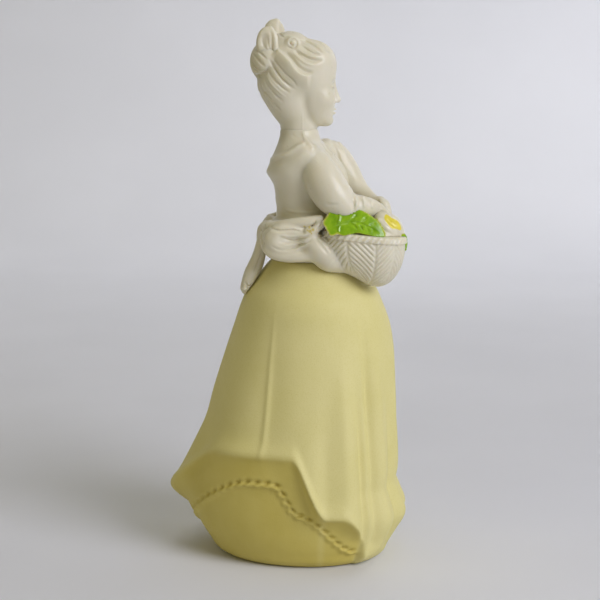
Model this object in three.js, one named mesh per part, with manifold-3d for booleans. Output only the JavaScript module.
// A figural cologne decanter. The skirt of the figure is a hollow glass bottle with a screw neck, and the
// figure above the waist is its plastic top, which hides a screw closure and unscrews with it.
//
// Units are millimetres and +Z is up. The figure faces -Y and her right hand is on -X. Shapes are laid out
// from the axis of the bottle's neck as (forward, right, up), and one shift at the end puts the origin in the
// middle of the object's footprint.
import * as THREE from "three";
import { ParametricGeometry } from "three/addons/geometries/ParametricGeometry.js";
import { mergeVertices } from "three/addons/utils/BufferGeometryUtils.js";
import Module from "manifold-3d";

const wasm = await Module();
wasm.setup();

// Driving dimensions
const HEIGHT = 168;
const GAP = 0.3; // air between pieces that touch
const NECK_TO_CENTRE = -6.95; // where the neck's axis stands along Y, from the middle of the footprint

const SHOULDER_Z = 95.4; // top of the glass shoulder, where the neck starts
const NECK_TOP_Z = 105.6;
const NECK_ROOT_R = 6.6;
const NECK_BORE_R = 4.6;
const THREAD_PITCH = 2.1;
const THREAD_TURNS = 3;
const THREAD_HEIGHT = 0.75; // radial height of a ridge
const THREAD_BASE = 0.9; // axial width of a ridge at its root
const THREAD_CREST = 0.4; // axial width of a ridge at its crest
const THREAD_START_Z = 98; // lower end of the glass thread

const CLOSURE_ROOT_R = 7.7;
const CLOSURE_CREST_R = 7;
const CLOSURE_R = 8.9;
const CLOSURE_BOTTOM_Z = 96.2;
const CLOSURE_CEILING_Z = 107;
const CLOSURE_TOP_Z = 108.2;
const TURNING_GAP = 0.45; // air between the turning top and the glass shoulder
const LINER_Z = NECK_TOP_Z + GAP; // underside of the liner
const LINER_THICKNESS = 0.8;
const LINER_R = 7.2;

const LABEL_R = 13;
const LABEL_THICKNESS = 0.2;
const RECESS_DEPTH = 1;
const FOOT_CENTRE = -3; // the foot's middle, forward of the neck's axis

const SHELL_WALL = 1.6;
const TORSO_BOTTOM_Z = 95.2;
const TORSO_TOP_Z = 134.2;
const TORSO_TWIST = THREE.MathUtils.degToRad(14); // chest turned towards her right
const PARTING = -3; // forward place of the seam between the torso's front and back shells
const NECK_PLUG_R = 2.8;
const NECK_PLUG = [at(-4.2, 0, TORSO_TOP_Z - 6), at(-4.2, 0, TORSO_TOP_Z + 3)]; // the head's peg in the torso

const BASKET_BOTTOM_Z = 85.4;
const BASKET_RIM_Z = 103.4;
const BASKET_LENGTH = 23.4;
const BASKET_DEPTH = 17;
const BASKET_FORWARD = 16.2; // the basket's middle, forward of the neck's axis
const BASKET_RIGHT = 11.6; // and to its right
const BASKET_LEAN = 4; // how much further forward the basket's deepest point is
const BASKET_FLOOR = 4; // thickness of the basket at its deepest point
const BAND_HEIGHT = 2.2; // the band round the basket's rim
const BAND_RISE = 0.6; // how far the band stands out

const FAR = 400; // half the size of the blocks that cut the pieces apart

// A point from its distances forward of, right of and above the neck's axis at table level.
function at(forward, right, up) {
  return new THREE.Vector3(-right, -forward, up);
}

// A three.js geometry as a solid, turned face outwards where its surface was wound the other way.
function solid(geometry) {
  const bare = geometry.index ? geometry.toNonIndexed() : geometry.clone();
  for (const name of Object.keys(bare.attributes)) {
    if (name !== "position") bare.deleteAttribute(name);
  }
  const merged = mergeVertices(bare, 1e-4);
  const corners = merged.index.array;
  const kept = [];
  for (let i = 0; i < corners.length; i += 3) {
    const [a, b, c] = corners.slice(i, i + 3);
    if (a !== b && b !== c && c !== a) kept.push(a, b, c);
  }
  const build = (triVerts) =>
    new wasm.Manifold(
      new wasm.Mesh({
        numProp: 3,
        vertProperties: merged.attributes.position.array,
        triVerts: new Uint32Array(triVerts),
      }),
    );
  const made = build(kept);
  return made.volume() > 0 ? made : build(kept.reverse());
}

function cut(shape, ...tools) {
  return tools.reduce((left, tool) => left.subtract(tool), shape);
}

// A named mesh of a solid, in its material.
function piece(name, shape, material) {
  const found = shape.getMesh();
  const position = new Float32Array(found.numVert * 3);
  for (let i = 0; i < found.numVert; i++) {
    position.set(found.vertProperties.subarray(i * found.numProp, i * found.numProp + 3), i * 3);
  }
  const geometry = new THREE.BufferGeometry();
  geometry.setAttribute("position", new THREE.BufferAttribute(position, 3));
  geometry.setIndex(new THREE.BufferAttribute(found.triVerts, 1));
  geometry.computeVertexNormals();
  const mesh = new THREE.Mesh(geometry, material);
  mesh.name = name;
  return mesh;
}

// A closed surface from point(along, angle), with both runs of the first share ending in a pole.
function skin(point, along, around) {
  const place = (u, v, target) => target.copy(point(v, u * 2 * Math.PI));
  return solid(new ParametricGeometry(place, around, along));
}

function ellipsoid(centre, radii, segments = 20, turn = new THREE.Euler()) {
  const geometry = new THREE.SphereGeometry(1, segments, Math.round(segments * 0.6));
  const matrix = new THREE.Matrix4().compose(centre, new THREE.Quaternion().setFromEuler(turn), radii);
  return solid(geometry.applyMatrix4(matrix));
}

// A limb, ribbon or lock: a tube with round ends along a curve, flattened across by the share flat.
function limb(points, radii, { flat = 1, across = at(0, 1, 0), along = 10, around = 10, margin = 0 } = {}) {
  const curve = new THREE.CatmullRomCurve3(points);
  const radius = new THREE.SplineCurve(radii.map((r, i) => new THREE.Vector2(i, r + margin)));
  const roundEnd = 0.16; // share of the length that each round end takes
  return skin(
    (t, angle) => {
      const centre = curve.getPoint(t);
      const forward = curve.getTangent(t);
      const side = across.clone().addScaledVector(forward, -across.dot(forward)).normalize();
      const up = forward.clone().cross(side);
      const toEnd = Math.min(1, Math.min(t, 1 - t) / roundEnd);
      const swell = Math.sqrt(Math.max(0, 1 - (1 - toEnd) ** 2));
      const r = radius.getPoint(t).y;
      const thin = (r - margin) * flat + margin;
      centre.addScaledVector(forward, margin * Math.sign(t - 0.5) * (1 - toEnd));
      return centre
        .addScaledVector(side, thin * swell * Math.cos(angle))
        .addScaledVector(up, r * swell * Math.sin(angle));
    },
    along,
    around,
  );
}

// Values between the rows of a table whose first column is height, as a smooth curve through them.
function between(rows) {
  const last = rows.length - 1;
  const curve = new THREE.CatmullRomCurve3(rows.map(([, a, b, c]) => new THREE.Vector3(a, b, c)));
  return (z) => {
    const above = rows.findIndex(([height], k) => k > 0 && height >= z);
    const i = above < 0 ? last - 1 : above - 1;
    const share = THREE.MathUtils.clamp((z - rows[i][0]) / (rows[i + 1][0] - rows[i][0]), 0, 1);
    return curve.getPoint((i + share) / last);
  };
}

// A point at a radius and an angle from straight ahead, towards her right.
function round(radius, angle, z) {
  return at(radius * Math.cos(angle), radius * Math.sin(angle), z);
}

// The radius at an angle from straight ahead of an outline with its own back, side and front radii.
function ovalRadius({ x: back, y: side, z: front }, angle) {
  const along = Math.cos(angle) > 0 ? front : back;
  return 1 / Math.hypot(Math.cos(angle) / along, Math.sin(angle) / side);
}

function box(low, high) {
  const size = new THREE.Vector3().subVectors(high, low);
  const geometry = new THREE.BoxGeometry(Math.abs(size.x), Math.abs(size.y), Math.abs(size.z));
  const middle = new THREE.Vector3().addVectors(low, high).multiplyScalar(0.5);
  return solid(geometry.translate(middle.x, middle.y, middle.z));
}

function turned(profile, segments = 40) {
  const points = profile.map(([r, z]) => new THREE.Vector2(r, z));
  return solid(new THREE.LatheGeometry(points, segments).rotateX(Math.PI / 2));
}

function disc(radius, low, high, forward = 0, segments = 40) {
  const geometry = new THREE.CylinderGeometry(radius, radius, high - low, segments);
  const place = at(forward, 0, (low + high) / 2);
  return solid(geometry.rotateX(Math.PI / 2).translate(place.x, place.y, place.z));
}

// One helical ridge, from rootR to crestR, both ends tapered into the wall.
function threadRidge(rootR, crestR, startZ) {
  const turns = THREAD_TURNS;
  const stepsPerTurn = 16;
  const overlap = Math.sign(rootR - crestR) * 0.25; // the ridge reaches this far into its wall
  return skin(
    (t, angle) => {
      const turn = t * turns * 2 * Math.PI;
      const taper = Math.min(1, Math.min(t, 1 - t) * turns * 6);
      const crest = THREE.MathUtils.lerp(rootR, crestR, taper);
      const corner = Math.floor((angle / (2 * Math.PI)) * 4 + 0.5) % 4;
      const outer = corner === 1 || corner === 2;
      const r = outer ? crest : rootR + overlap;
      const width = t === 0 || t === 1 ? 0 : outer ? THREAD_CREST : THREAD_BASE;
      const z = startZ + t * turns * THREAD_PITCH + (corner < 2 ? -width : width) / 2;
      return new THREE.Vector3(r * Math.cos(turn), r * Math.sin(turn), z);
    },
    turns * stepsPerTurn,
    4,
  );
}

// Height of the overskirt's hem at an angle from straight ahead towards her right: it hangs nearly to the foot
// in front and on her left, and is drawn up over her right hip.
function hemHeight(angle) {
  const turn = THREE.MathUtils.euclideanModulo(THREE.MathUtils.radToDeg(angle), 360);
  const rise = 22 * THREE.MathUtils.smoothstep(turn, 50, 100) + 6 * THREE.MathUtils.smoothstep(turn, 95, 135);
  return 7.2 + rise - 28 * THREE.MathUtils.smoothstep(turn, 144, 204);
}

// Rows of height, then radius behind, beside and before the neck's axis.
const overskirt = between([
  [2, 33.4, 28.6, 27.6],
  [8, 37, 30, 29.4],
  [14, 40.8, 30.8, 29.4],
  [20, 44.4, 31, 28.8],
  [27, 42.4, 30.2, 28],
  [35, 38, 28.8, 28],
  [43, 34, 27.4, 27.2],
  [54, 30.5, 25.6, 26.2],
  [66, 26.8, 24, 25.8],
  [74, 24.2, 22.9, 24.4],
  [81, 21.8, 21.8, 21.8],
]);
const underskirt = between([
  [0, 28, 21.6, 22.4],
  [1, 29.8, 23, 24.2],
  [5, 31.6, 24.6, 25.6],
  [15, 36, 26.6, 26.2],
  [28, 38, 27, 26],
  [81, 21.8, 21.8, 21.8],
]);
const hollow = between([
  [4.4, 26, 18.6, 19],
  [8, 28.6, 20.8, 21.2],
  [16, 32.2, 22.2, 22],
  [30, 34.8, 22.8, 22.2],
  [43, 29.8, 22.6, 22.4],
  [54, 26.2, 21.4, 22],
  [66, 22.4, 19.8, 21.2],
  [76, 19.2, 18.4, 19],
  [84, 16.4, 16.4, 16.4],
  [88.6, 11.4, 11.4, 11.4],
  [91.8, NECK_BORE_R, NECK_BORE_R, NECK_BORE_R],
]);

// The glass shoulder is a surface of revolution, so that the top can turn above it: radius and height.
const SHOULDER = [
  [21.8, 81],
  [20.6, 83.8],
  [17.4, 87.8],
  [15.5, 90.4],
  [13.6, 92.7],
  [11.2, 94.5],
  [9, 95.2],
  [0, SHOULDER_Z],
];

function skirtPoint(z, angle) {
  const hem = hemHeight(angle);
  const turnUnder = 6.5; // height over which the hem turns in to the underskirt
  const over = THREE.MathUtils.smoothstep(z, hem - turnUnder, hem - 0.5);
  const folded = THREE.MathUtils.smoothstep(z, 2, 12) * (1 - THREE.MathUtils.smoothstep(z, 40, 78));
  const fold = 0.7 * folded * Math.cos(9 * angle) * THREE.MathUtils.smoothstep(Math.cos(angle), -0.3, 0.5);
  const outer = ovalRadius(overskirt(z), angle) + fold;
  return round(THREE.MathUtils.lerp(ovalRadius(underskirt(z), angle), outer, over), angle, z);
}

function skirtBottle() {
  const heights = [0, 1, 4, 7.5, 11, 14.5, 18, 21.5, 25, 28.5, 32, 36, 42, 50, 58, 66, 74, 81];
  const shoulder = SHOULDER.slice(1);
  const rows = heights.length + shoulder.length;
  const skirt = skin(
    (t, angle) => {
      const i = Math.round(t * rows);
      if (i === 0) return at(FOOT_CENTRE, 0, 0);
      if (i <= heights.length) return skirtPoint(heights[i - 1], angle);
      const [r, z] = shoulder[i - 1 - heights.length];
      return round(r, angle, z);
    },
    rows,
    56,
  );
  const inside = [4.4, 6, 10, 16, 23, 30, 36, 43, 54, 66, 72, 77, 84, 86.4, 88.6, 90.4, 91.8, NECK_TOP_Z + 1];
  const cavity = skin(
    (t, angle) => {
      const i = Math.round(t * (inside.length + 1));
      if (i === 0) return at(FOOT_CENTRE, 0, inside[0]);
      if (i > inside.length) return at(0, 0, NECK_TOP_Z + 1);
      return round(ovalRadius(hollow(inside[i - 1]), angle), angle, inside[i - 1]);
    },
    inside.length + 1,
    32,
  );
  const lip = 0.6; // round-over of the neck's mouth
  const neck = turned([
    [0, SHOULDER_Z - 2],
    [NECK_ROOT_R + 1.2, SHOULDER_Z - 0.6],
    [NECK_ROOT_R, SHOULDER_Z + 0.6],
    [NECK_ROOT_R, NECK_TOP_Z - lip],
    [NECK_ROOT_R - lip, NECK_TOP_Z],
    [0, NECK_TOP_Z],
  ]);
  const ridge = threadRidge(NECK_ROOT_R, NECK_ROOT_R + THREAD_HEIGHT, THREAD_START_Z);
  const recess = disc(LABEL_R + 1, -1, RECESS_DEPTH, FOOT_CENTRE);
  return skirt.add(neck).add(ridge).subtract(cavity).subtract(recess);
}

function screwClosure() {
  const cup = turned([
    [CLOSURE_ROOT_R, CLOSURE_BOTTOM_Z],
    [CLOSURE_R, CLOSURE_BOTTOM_Z],
    [CLOSURE_R, CLOSURE_TOP_Z],
    [0, CLOSURE_TOP_Z],
    [0, CLOSURE_CEILING_Z],
    [CLOSURE_ROOT_R, CLOSURE_CEILING_Z],
    [CLOSURE_ROOT_R, CLOSURE_BOTTOM_Z],
  ]);
  return cup.add(threadRidge(CLOSURE_ROOT_R, CLOSURE_CREST_R, THREAD_START_Z - THREAD_PITCH / 2));
}

// Everything the top carries stays clear of this body of revolution over the glass shoulder.
function turningClearance() {
  const low = 70; // well below the lowest piece of the top
  const outline = SHOULDER.map(([r, z]) => [r && r + TURNING_GAP, z + TURNING_GAP]);
  return turned([[0, low], [28, low], ...outline]);
}

// Rows of height, then the torso's radius behind, beside and before the neck's axis.
const torso = between([
  [TORSO_BOTTOM_Z, 12.4, 12.6, 11.6],
  [103, 12, 11.8, 11.4],
  [106, 11.4, 11, 11],
  [109, 11.2, 10.4, 10.6],
  [112, 11.3, 10, 8.4],
  [116, 11.8, 10.6, 8],
  [120, 13.4, 12, 8.6],
  [123.4, 13.4, 12.8, 8],
  [127, 11.8, 12, 6],
  [130, 10.6, 9.4, 3.8],
  [132.4, 10, 6.6, 2.2],
  [TORSO_TOP_Z, 9.8, 5.6, 1.6],
]);

// The torso with a margin, as one closed body from z low to high.
function torsoBody(margin, low = TORSO_BOTTOM_Z, high = TORSO_TOP_Z) {
  const waist = [98, 101, 103, 106, 109, 110.6, 112, 114];
  const shoulders = [116, 118, 120, 121.7, 123.4, 125.2, 127, 128.6, 130, 132.4];
  const rows = [low, ...[...waist, ...shoulders].filter((z) => z > low + GAP && z < high - GAP), high];
  return skin(
    (t, angle) => {
      const i = Math.round(t * (rows.length + 1));
      const z = rows[THREE.MathUtils.clamp(i - 1, 0, rows.length - 1)];
      const { x: back, y: side, z: front } = torso(z);
      const open = i === 0 || i > rows.length ? 0 : 1;
      const forward = ((front + back) / 2 + margin) * Math.cos(angle) * open;
      const right = (side + margin) * Math.sin(angle) * open;
      const turn = new THREE.Vector2(forward, right).rotateAround(new THREE.Vector2(), TORSO_TWIST);
      return at((front - back) / 2 + turn.x, turn.y, z);
    },
    rows.length + 1,
    20,
  );
}

function torsoShells() {
  const socket = disc(CLOSURE_R + GAP, TORSO_BOTTOM_Z - 1, CLOSURE_TOP_Z + GAP);
  const hollowChest = torsoBody(-SHELL_WALL, CLOSURE_TOP_Z + SHELL_WALL, TORSO_TOP_Z - 4);
  const neckHole = limb(NECK_PLUG, [NECK_PLUG_R, NECK_PLUG_R], { margin: GAP, along: 6 });
  const whole = cut(torsoBody(0), turningClearance(), socket, hollowChest, neckHole);
  const ahead = box(at(PARTING + GAP / 2, -FAR, 0), at(FAR, FAR, FAR));
  const behind = box(at(-FAR, -FAR, 0), at(PARTING - GAP / 2, FAR, FAR));
  return [whole.intersect(ahead), whole.intersect(behind)];
}

// The right arm, from shoulder to hand, in its full sleeve.
function rightArm(margin = 0) {
  const run = [
    at(0.4, 8.6, 125.6),
    at(3, 10.8, 120.4),
    at(6, 12.2, 115.5),
    at(10.4, 12.8, 112),
    at(15, 12, 111.8),
    at(20.4, 9.6, 110),
  ];
  return limb(run, [4, 5.6, 5.7, 4.2, 3, 2.4], { along: 12, margin });
}

// The left arm, whose hand is laid over the basket.
function leftArm(margin = 0) {
  const run = [
    at(4.6, -8.6, 126.4),
    at(8.8, -9.8, 123.6),
    at(12.4, -9.4, 118.8),
    at(16.4, -6, 114),
    at(20, -1.4, 112),
    at(22.6, 3.2, 110.6),
  ];
  return limb(run, [4, 4.4, 4.3, 3, 2.3, 2.4], { along: 12, margin });
}

// Everything above the neck joint with a margin, without the ribbon.
function skull(margin = 0) {
  const part = (centre, long, wide, tall) =>
    ellipsoid(centre, new THREE.Vector3(wide, long, tall).addScalar(margin), 16);
  const hair = part(at(-4.4, 0, 152.4), 11.6, 10.8, 11.2);
  const face = part(at(0.4, 0, 145.6), 6.4, 6.9, 10.6);
  const nose = part(at(6.4, 0, 145.6), 1.6, 1.5, 1.9);
  const backRoll = part(at(-13, 0, 154.4), 6.1, 7.4, 6.6);
  const neckRun = [at(-4.4, 0, TORSO_TOP_Z - 3), at(-4.2, 0, 139), at(-3.4, 0, 147)];
  const neck = limb(neckRun, [6, 5.4, 7], { margin, along: 8 });
  return hair.add(face).add(nose).add(backRoll).add(neck);
}

function head() {
  const above = box(at(-FAR, -FAR, TORSO_TOP_Z + GAP), at(FAR, FAR, FAR));
  return skull().intersect(above).add(limb(NECK_PLUG, [NECK_PLUG_R, NECK_PLUG_R], { along: 6 }));
}

// Two ribbon loops that stand up behind the crown, and the knot between them. The left loop is the higher one
// and its top is the highest point of the object.
function hairBow() {
  const loopReach = 3.35; // from the middle of a loop to its top
  const loop = (right, height) => {
    const foot = at(-14, right * 0.4, height - 5.4);
    const tip = at(-12.6, right * 1.1, height + 3);
    return limb([foot, at(-14.4, right, height - 1), tip], [2.6, 3.6, 2.6], { flat: 0.6 });
  };
  const knot = ellipsoid(at(-14, 0, 162), new THREE.Vector3(3.4, 2.4, 2.4), 12);
  return loop(4, 162.4).add(loop(-4, HEIGHT - loopReach)).add(knot).subtract(skull(GAP));
}

// The bow of her sash: a loop over each hip, the knot behind, and a tail that hangs over the skirt.
function waistBow(margin = 0) {
  const loop = (side) => {
    const run = [
      at(-14.2, 3.5 * side, 102),
      at(-11, 10.5 * side, 101),
      at(-5, 13.8 * side, 101),
      at(1.6, 14 * side, 102.4),
    ];
    const across = at(-0.2, side, 0);
    return limb(run, [3.4, 5.6, 5.8, 4.4], { flat: 0.5, across, along: 12, around: 12, margin });
  };
  const knot = ellipsoid(at(-14.2, 0, 101.6), new THREE.Vector3(4.6, 3, 3.6).addScalar(margin), 14);
  const tail = limb(
    [at(-15, 1.6, 101.4), at(-16.2, 2.2, 95), at(-18.6, 2.8, 89), at(-21, 3, 84.6)],
    [2.6, 3, 3.4, 3.2],
    { flat: 0.5, across: at(1, 0, 0.2), margin },
  );
  return loop(1).add(loop(-1)).add(knot).add(tail);
}

// The basket's outside with a margin: a bowl with an oval mouth, longer than it is deep.
function basketBowl(margin, low = BASKET_BOTTOM_Z, high = BASKET_RIM_Z) {
  const rows = 9;
  return skin(
    (t, angle) => {
      const side = Math.min(1, (t * rows) / (rows - 1)); // 0 at the middle of the bottom, 1 at the rim
      const spread = Math.sin((side * Math.PI) / 2) ** 0.8;
      const open = t === 1 ? 0 : spread;
      const z = low + (high - low) * (1 - Math.cos((side * Math.PI) / 2));
      const forward = (BASKET_LENGTH / 2 + margin) * open * Math.cos(angle) + BASKET_LEAN * (1 - side);
      const right = (BASKET_DEPTH / 2 + margin) * open * Math.sin(angle);
      return at(BASKET_FORWARD + forward, BASKET_RIGHT + right, z);
    },
    rows,
    26,
  );
}

function basketShell() {
  const band = box(at(-FAR, -FAR, BASKET_RIM_Z - BAND_HEIGHT), at(FAR, FAR, BASKET_RIM_Z));
  const inside = basketBowl(-SHELL_WALL, BASKET_BOTTOM_Z + BASKET_FLOOR, BASKET_RIM_Z + 1);
  return basketBowl(0).add(basketBowl(BAND_RISE).intersect(band)).subtract(inside);
}

// What fits inside the basket, from a height over its floor to a height over its rim.
function basketFilling(overFloor, overRim) {
  const low = BASKET_BOTTOM_Z + BASKET_FLOOR + GAP + overFloor;
  return basketBowl(-SHELL_WALL - GAP, low, BASKET_RIM_Z + overRim);
}

// The flowers and leaves, one moulding that fills the basket and stands over its rim.
function posyBody() {
  const leaf = (centre, long, turn) => ellipsoid(centre, new THREE.Vector3(3.4, long, 1.8), 14, turn);
  const bloom = (centre, r) => ellipsoid(centre, new THREE.Vector3(r, r, r * 0.8), 10);
  return [
    leaf(at(12, 18, 106), 10, new THREE.Euler(0.12, 0.7, 0)),
    leaf(at(26, 13, 104.4), 3.4, new THREE.Euler(0.3, 0.4, 0.5)),
    bloom(at(23.2, 17, 106), 3.6),
    bloom(at(21, 9.6, 106), 3.8),
    bloom(at(14.5, 11.6, 106), 3.8),
    bloom(at(8.4, 14, 105.4), 3.2),
  ].reduce((sum, shape) => sum.add(shape), basketFilling(0.3, 1.2));
}

const material = (color, roughness) => new THREE.MeshStandardMaterial({ color, roughness, metalness: 0 });
const coatedGlass = material(0xd9d49a, 0.6);
const ivory = material(0xe4dfca, 0.4);
const paint = material(0x9bbf2c, 0.3);
const closurePlastic = material(0xf0f0ec, 0.4);
const foam = material(0xd9d4c8, 0.9);
const paper = material(0xe8e2cf, 0.8);

const body = torsoBody(GAP, TORSO_BOTTOM_Z - 1, TORSO_TOP_Z + GAP);
const overGlass = turningClearance();
const [frontShell, backShell] = torsoShells();
const neighbours = [body, overGlass, waistBow(GAP), rightArm(GAP), leftArm(GAP)];
const roundBasket = basketBowl(BAND_RISE + GAP, BASKET_BOTTOM_Z - 1, BASKET_RIM_Z + GAP);
const basketWall = roundBasket.subtract(basketFilling(0, 2));

const bottle = new THREE.Group();
const labelTop = RECESS_DEPTH - GAP;
bottle.add(
  piece("skirt_bottle", skirtBottle(), coatedGlass),
  piece("base_label", disc(LABEL_R, labelTop - LABEL_THICKNESS, labelTop, FOOT_CENTRE), paper),
);

const top = new THREE.Group();
top.add(
  piece("closure_liner", disc(LINER_R, LINER_Z, LINER_Z + LINER_THICKNESS), foam),
  piece("screw_closure", screwClosure(), closurePlastic),
  piece("torso_front_shell", frontShell, ivory),
  piece("torso_back_shell", backShell, ivory),
  piece("head", head(), ivory),
  piece("hair_bow", hairBow(), ivory),
  piece("right_arm", cut(rightArm(), body), ivory),
  piece("left_arm", cut(leftArm(), body), ivory),
  piece("waist_bow", cut(waistBow(), body, overGlass), ivory),
  piece("basket", cut(basketShell(), ...neighbours), ivory),
  piece("posy", cut(posyBody(), basketWall, ...neighbours), paint),
);

const decanter = new THREE.Group();
decanter.add(bottle, top);
decanter.position.y = NECK_TO_CENTRE;

export default decanter;
